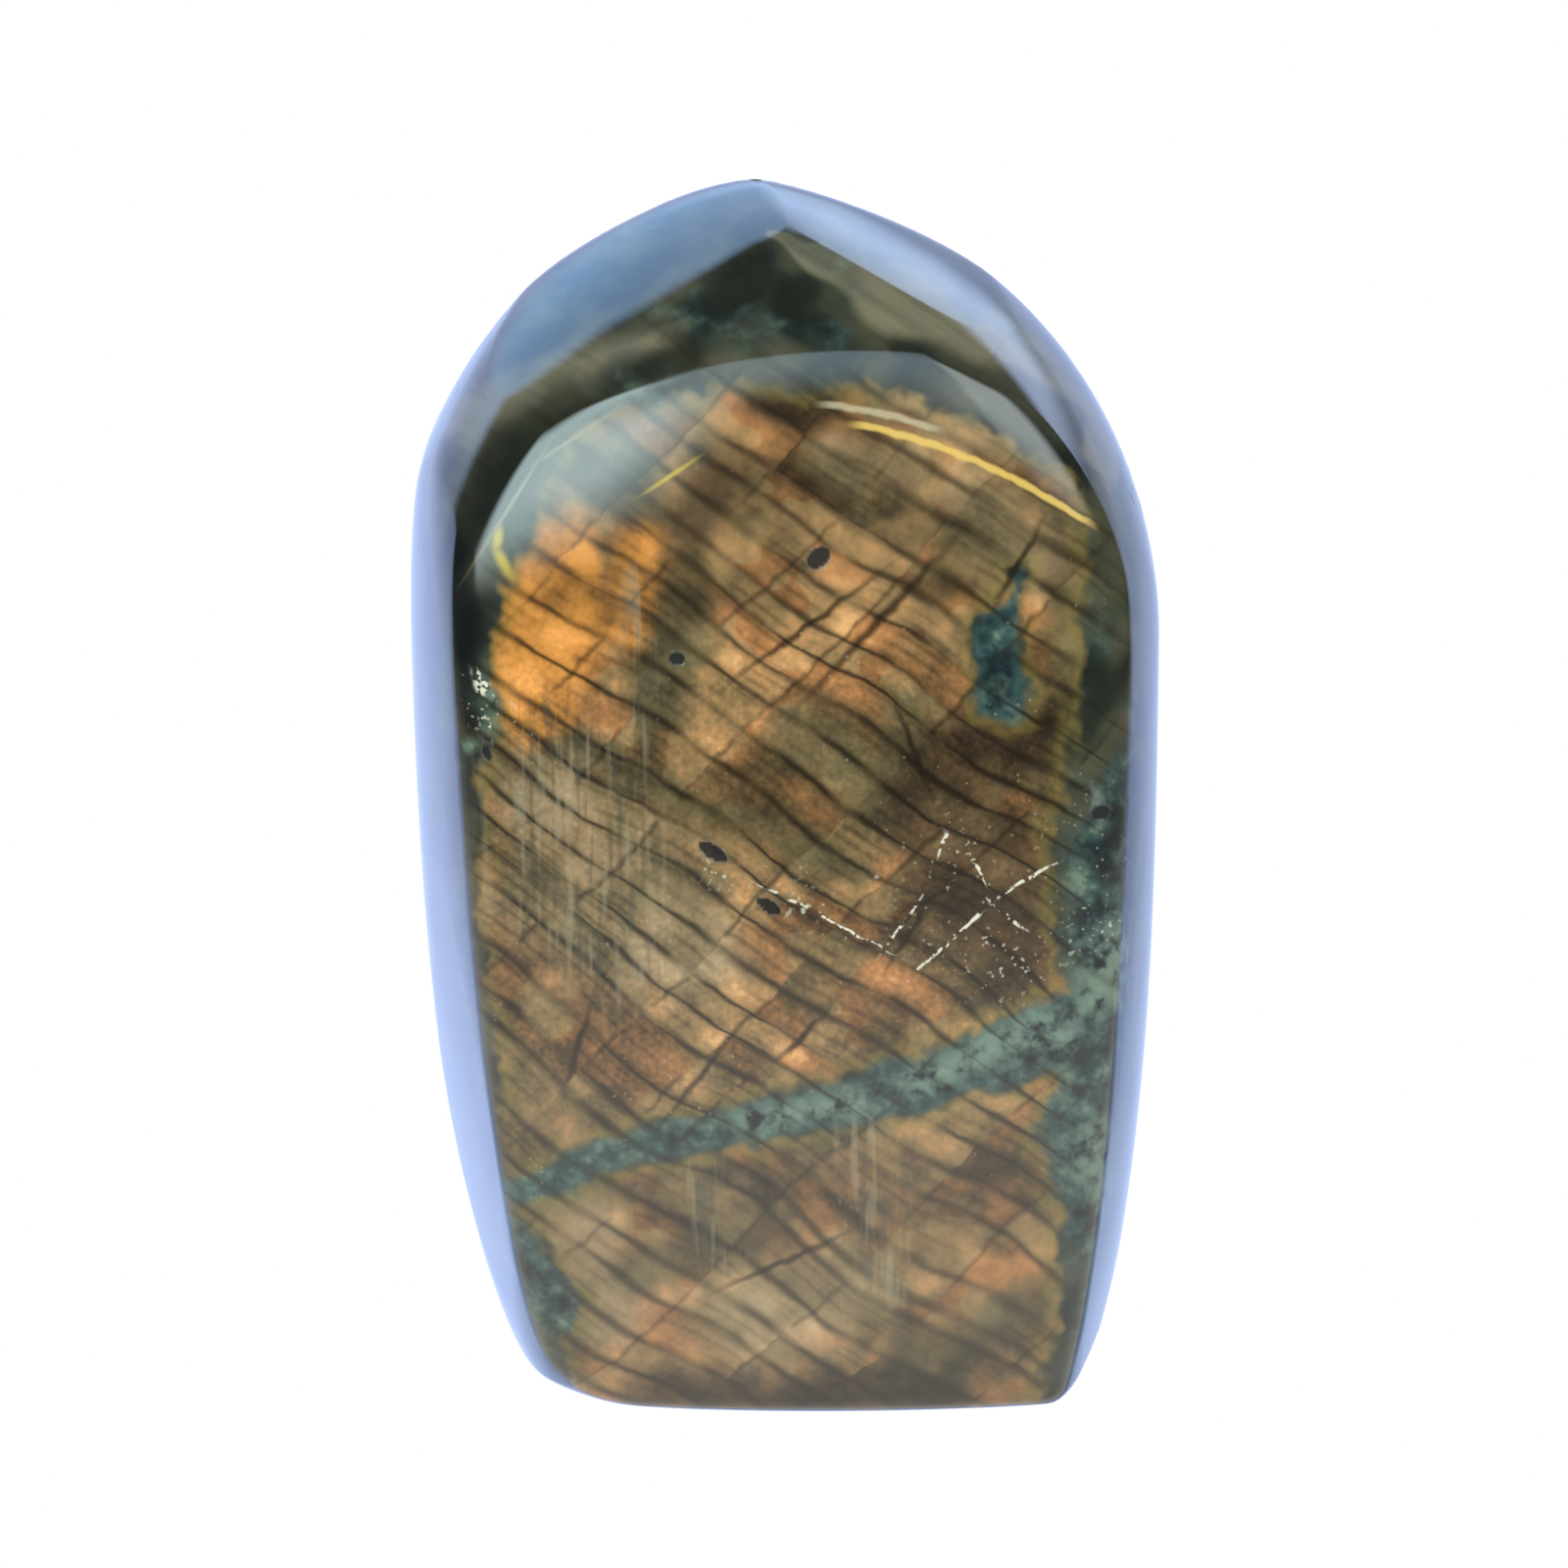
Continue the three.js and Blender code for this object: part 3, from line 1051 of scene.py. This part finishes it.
        zones = {Zone.TAN: f.tan, Zone.OLIVE: f.olive, Zone.BROWN: f.brown, Zone.AMBER: f.amber}
        for zone, coat in zones.items():
            flash = self.lay(flash, coat, field[zone.value], tone)
        ground = self.lay(ground, f.blue, self.mask(self.cloud[1], 0.58, 0.42, field["rear"]), tone)
        deep = self.weigh((field["inset"], 1.0), (self.ragged[2], 2.4), start=-1.2)
        flash = self.lay(flash, f.fringe_yellow, self.mask(deep, 2.0, 0.3))
        ground = self.lay(ground, f.fringe_cyan, self.mask(deep, -1.3, -0.1, field["teal"]))
        return node("Mix", {0: self.mask(deep, -0.3, 0.9), 6: ground, 7: flash}, **COLOURS)

    def lines(self, ground: Socket) -> Socket:
        """Dark lamella lines, cross joints and cracks.

        Args:
            ground: the colour so far.

        Returns:
            The colour with the lines drawn in.
        """
        f, node, field = self.finish, self.node, self.field
        front = self.mask(field["inset"], -3.0, 0.5, least=0.4)
        clear = self.weigh((field["soft"], -0.3), start=1.0)
        swell = self.mask(self.cloud[1], 0.35, 0.65)
        wide = self.weigh((swell, f.line_swell), (field["soft"], f.line_blur), start=f.line_half)
        drawn = self.mask(self.cloud[0], 0.34, 0.6, least=0.2)
        main = self.mask(self.band_gap, wide, 0.0, drawn, front, clear)
        fine_at = {"W": self.across, "Scale": 1 / f.fine_lamella_mm}
        fine = node("TexVoronoi", fine_at, voronoi_dimensions="1D", feature="DISTANCE_TO_EDGE")
        fine = self.mask(fine, f.fine_line_half, 0.02, self.mask(self.cloud[2], 0.62, 0.36), front, clear)
        shown = self.mask(self.cloud[1], 0.56, 0.44)
        joint = self.mask(self.joint_gap, f.joint_half, 0.0, shown, front, clear)
        cracks = self.strongest([self.seam(seam, self.frayed) for seam in f.cross_seams])
        colour = self.lay(ground, f.lamella_line, main)
        colour = self.lay(colour, f.fine_line, fine)
        colour = self.lay(colour, f.joint_line, joint)
        return self.lay(colour, f.crack, cracks)

    def streaks(self, ground: Socket) -> Socket:
        """Upright light and dark streaks.

        Args:
            ground: the colour so far.

        Returns:
            The colour with the streaks on it.
        """
        f, zone = self.finish, self.field["streak"]
        scale = tuple(1 / size for size in f.streak_mm)
        drawn = self.node("Mapping", {"Vector": self.mm, "Scale": scale})
        streak = self.node("TexNoise", {"Vector": drawn, "Scale": 1.0, "Detail": 1.0})
        colour = self.lay(ground, f.streak_light, self.mask(streak, 0.5, 0.68, zone))
        return self.lay(colour, f.streak_dark, self.mask(streak, 0.48, 0.34, zone))

    def flakes(self, ground: Socket) -> Socket:
        """Pale grains, and broken white cleavage edges with small chips about them.

        Args:
            ground: the colour so far.

        Returns:
            The colour with the grains, edges and chips on it.
        """
        f, node, field = self.finish, self.node, self.field
        grain = node("TexVoronoi", {"Vector": self.mm, "Scale": 1 / f.grain_mm}, out="Color")
        cloudy = self.mask(self.cloud[0], 0.5, 0.68, self.mask(field["inset"], -3.0, 0.0))
        thick = self.strongest([cloudy, field["flake"]])
        sharp = self.weigh((field["soft"], -0.8), start=1.0)
        speck = self.mask(node("SeparateColor", {0: grain}), 0.86, 0.92, thick, sharp,
                          self.mask(grain.node.outputs["Distance"], 0.36, 0.16))
        colour = self.lay(ground, f.grain, speck)
        broken = self.mask(self.crumb[0], 0.46, 0.56)
        white = self.strongest([self.seam(seam, self.frayed, 0.5) for seam in f.white_seams])
        colour = self.lay(colour, f.flake, self.mask(white, 0.0, 1.0, broken))
        chips = self.mask(self.crumb[1], 0.64, 0.73, field["flake"], self.mask(self.cloud[1], 0.42, 0.58))
        return self.lay(colour, f.chip, chips)

    def threads(self, ground: Socket) -> Socket:
        """Gold, cream, yellow and grey threads by the top of the flash, and painted shade in the pits.

        Args:
            ground: the colour so far.

        Returns:
            The colour with the threads and the painted pit shade on it.
        """
        f = self.finish
        colour = self.lay(ground, f.gold, self.arch(f.gold_arch))
        colour = self.lay(colour, f.cream, self.arch(f.cream_arch))
        for coat, seams in ((f.yellow, f.yellow_seams), (f.thread, f.thread_seams)):
            colour = self.lay(colour, coat, self.strongest([self.seam(seam, self.mm) for seam in seams]))
        # Painted shade: the pits are darkened to near black by their depth field.
        return self.lay(colour, f.pit, self.field["pit"])

    def gloss(self, colour: Socket) -> None:
        """Puts the polish over the painted body: nearly a mirror, matt in the pits and on the sawn base.

        Args:
            colour: the painted colour.
        """
        f = self.finish
        sawn = self.mask(self.z, f.sawn_mm, 0.0)
        rough = self.weigh((self.cloud[0], f.polish_change), (self.field["pit"], f.matt), (sawn, f.matt),
                           start=f.polish)
        shader = self.node("BsdfPrincipled", {"Base Color": colour, "Roughness": rough, "IOR": f.ior})
        self.node("OutputMaterial", {"Surface": shader}, out=None)


@dataclass(frozen=True)
class SoftBox:
    """A soft box that looks at the stone: where it hangs, its sizes in metres, its power and its colour."""

    name: str
    turn: float
    lift: float
    wide: float
    tall: float
    watts: float
    colour: Point
    distance: float = 0.60
    aim_height: float = 0.05

    def hang(self) -> None:
        """Hangs the box and aims it at the stone."""
        light = bpy.data.lights.new(self.name, "AREA")
        light.shape = "RECTANGLE"
        light.size = self.wide
        light.size_y = self.tall
        light.energy = self.watts
        light.color = self.colour
        box = bpy.data.objects.new(self.name, light)
        bpy.context.scene.collection.objects.link(box)
        aim = Vector((0.0, 0.0, self.aim_height))
        box.location = aim + Vector(direction(self.turn, self.lift)) * self.distance
        box.rotation_euler = (aim - box.location).to_track_quat("-Z", "Y").to_euler()
        box.visible_glossy = False


@dataclass(frozen=True)
class Glow:
    """A soft pale patch of the surround that the polish mirrors.

    Its turn from the front and its half width are in degrees. The band gives the sine of the height where the
    patch starts, where it is full, where it is full no more and where it ends. The core is the share of the
    half width that is full.
    """

    turn: float
    half: float
    band: tuple[float, float, float, float]
    colour: Point
    core: float = 0.4


@dataclass
class Studio:
    """Plain pale floor, soft bluish surround behind the stone, and soft boxes and pale glows in front of it.

    Levels such as behind, below, table_from, high_from and sides are parts of a unit direction, as pairs of
    where a light starts and where it is full.
    """

    floor_half: float = 3.0
    floor_drop: float = 0.0002
    gloom: Point = (0.08, 0.08, 0.08)
    table: Point = (1.5, 1.45, 1.35)
    low_left: Point = (0.88, 1.10, 1.75)
    low_right: Point = (0.54, 0.68, 1.04)
    high_left: Point = (1.2, 2.0, 3.3)
    high_right: Point = (2.4, 3.1, 4.6)
    behind: tuple[float, float] = (0.42, 0.54)
    below: tuple[float, float] = (0.97, 0.93)
    table_from: tuple[float, float] = (-0.12, -0.42)
    high_from: tuple[float, float] = (0.2, 0.5)
    sides: tuple[float, float] = (-0.5, 0.5)
    boxes: tuple[SoftBox, ...] = (
        SoftBox("soft_box_left", turn=-31, lift=34, wide=0.44, tall=0.28, watts=0.95,
                colour=(0.86, 1.0, 1.0)),
        SoftBox("soft_box_right", turn=33, lift=34, wide=0.46, tall=0.28, watts=1.1,
                colour=(0.88, 1.0, 1.0)),
        SoftBox("soft_strip", turn=0, lift=48, wide=0.90, tall=0.18, watts=0.5,
                colour=(0.75, 0.92, 1.0)),
    )
    glows: tuple[Glow, ...] = (
        Glow(turn=-25, half=20, band=(0.10, 0.36, 0.70, 0.75), colour=(6.4, 8.3, 8.5)),
        Glow(turn=37, half=36, band=(0.24, 0.54, 0.70, 0.75), colour=(4.8, 5.4, 5.4)),
        Glow(turn=-4, half=30, band=(0.44, 0.66, 0.74, 0.78), colour=(1.7, 2.3, 2.8)),
    )

    def build(self) -> None:
        """Sets up the floor, the surround and the soft boxes."""
        self.lay_floor()
        self.light_surround()
        for box in self.boxes:
            box.hang()

    def lay_floor(self) -> None:
        """Lays the pale glowing floor, which shows to the camera only."""
        bpy.ops.object.select_all(action="DESELECT")
        bpy.ops.mesh.primitive_plane_add(size=2 * self.floor_half, location=(0, 0, -self.floor_drop))
        floor = bpy.context.active_object
        floor.name = "floor"
        bpy.ops.object.transform_apply(location=True, rotation=True, scale=True)
        material = bpy.data.materials.new("white acrylic light table")
        material.use_nodes = True
        tree = material.node_tree
        tree.nodes.clear()
        glow = add_node(tree, "Emission", {"Color": (1.0, 1.0, 1.0, 1.0), "Strength": 1.0})
        add_node(tree, "OutputMaterial", {"Surface": glow}, out=None)
        material.cycles.emission_sampling = "NONE"
        floor.data.materials.append(material)
        floor.visible_diffuse = False
        floor.visible_glossy = False
        floor.visible_shadow = False

    def light_surround(self) -> None:
        """Lights the stone from behind and in front, while the camera itself sees plain white."""
        world = bpy.data.worlds.new("studio surround")
        bpy.context.scene.world = world
        world.use_nodes = True
        world.node_tree.nodes.clear()
        node = partial(add_node, world.node_tree)
        right, back, up = node("SeparateXYZ", {0: node("TexCoord", {}, out="Generated")}).node.outputs
        behind = node("MapRange", {0: back, 1: self.behind[0], 2: self.behind[1]}, **SMOOTHLY)
        below = node("MapRange", {0: up, 1: self.below[0], 2: self.below[1]}, **SMOOTHLY)
        share = node("Math", {0: behind, 1: below}, operation="MULTIPLY")
        fore = self.light_before(node, right, back, up)
        rear = self.light_behind(node, right, up)
        tint = node("Mix", {0: share, 6: fore, 7: rear}, **COLOURS)
        soft = node("Background", {"Color": tint})
        white = node("Background", {"Color": (1.0, 1.0, 1.0, 1.0)})
        seen = node("LightPath", {}, out="Is Camera Ray")
        picked = node("MixShader", {0: seen, 1: soft, 2: white})
        node("OutputWorld", {"Surface": picked}, out=None)

    def light_behind(self, node: NodeMaker, right: Socket, up: Socket) -> Socket:
        """Bluish light behind the stone, brighter high up.

        Args:
            node: adds a node to the world.
            right: how far a direction points to the right.
            up: how far it points up.

        Returns:
            The light's colour.
        """
        rightness = node("MapRange", {0: right, 1: self.sides[0], 2: self.sides[1]}, **SMOOTHLY)
        high = node("MapRange", {0: up, 1: self.high_from[0], 2: self.high_from[1]}, **SMOOTHLY)
        low = node("Mix", {0: rightness, 6: (*self.low_left, 1.0), 7: (*self.low_right, 1.0)}, **COLOURS)
        top = node("Mix", {0: rightness, 6: (*self.high_left, 1.0), 7: (*self.high_right, 1.0)}, **COLOURS)
        return node("Mix", {0: high, 6: low, 7: top}, **COLOURS)

    def light_before(self, node: NodeMaker, right: Socket, back: Socket, up: Socket) -> Socket:
        """Dim room in front of the stone, with the pale table below and the glows.

        Args:
            node: adds a node to the world.
            right: how far a direction points to the right.
            back: how far it points to the back.
            up: how far it points up.

        Returns:
            The light's colour.
        """
        table = node("MapRange", {0: up, 1: self.table_from[0], 2: self.table_from[1]}, **SMOOTHLY)
        fore = node("Mix", {0: table, 6: (*self.gloom, 1.0), 7: (*self.table, 1.0)}, **COLOURS)
        ahead = node("Math", {0: back, 1: -1.0}, operation="MULTIPLY")
        around = node("Math", {0: right, 1: ahead}, operation="ARCTAN2")
        for glow in self.glows:
            off = node("Math", {0: around, 1: math.radians(glow.turn)}, operation="SUBTRACT")
            off = node("Math", {0: off}, operation="ABSOLUTE")
            half = math.radians(glow.half)
            start, full, fading, end = glow.band
            side = node("MapRange", {0: off, 1: half, 2: glow.core * half}, **SMOOTHLY)
            rise = node("MapRange", {0: up, 1: start, 2: full}, **SMOOTHLY)
            fall = node("MapRange", {0: up, 1: end, 2: fading}, **SMOOTHLY)
            height = node("Math", {0: rise, 1: fall}, operation="MULTIPLY")
            patch = node("Math", {0: side, 1: height}, operation="MULTIPLY")
            fore = node("Mix", {0: patch, 6: fore, 7: (*glow.colour, 1.0)}, **COLOURS)
        return fore


@dataclass
class PhotoCamera:
    """The camera at the photograph's place: straight in front and a little above."""

    lift: float = 15.0
    distance: float = 0.52
    aim_height: float = 0.049
    frame_width: float = 0.128
    sensor: float = 36.0
    nearest: float = 0.01

    def build(self) -> None:
        """Creates the camera and makes it the scene's own."""
        data = bpy.data.cameras.new("photo_camera")
        data.sensor_width = self.sensor
        data.lens = self.sensor * self.distance / self.frame_width
        data.clip_start = self.nearest
        camera = bpy.data.objects.new("photo_camera", data)
        bpy.context.scene.collection.objects.link(camera)
        aim = Vector((0.0, 0.0, self.aim_height))
        camera.location = aim + Vector(direction(0.0, self.lift)) * self.distance
        camera.rotation_euler = (aim - camera.location).to_track_quat("-Z", "Y").to_euler()
        bpy.context.scene.camera = camera


def write_sizes() -> None:
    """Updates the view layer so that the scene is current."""
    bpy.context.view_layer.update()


def main() -> None:
    """Builds the camera, the stone and the studio in order."""
    logging.basicConfig(level=logging.INFO, format="%(name)s: %(message)s")
    bpy.context.scene.view_settings.view_transform = "Standard"
    PhotoCamera().build()
    stone = Stone()
    piece = stone.build()
    stone.dress(PolishedLabradorite())
    LOG.info("%s has %d faces", piece.name, len(piece.data.polygons))
    Studio().build()
    LOG.info("studio is set")
    write_sizes()


if __name__ == "__main__":
    main()
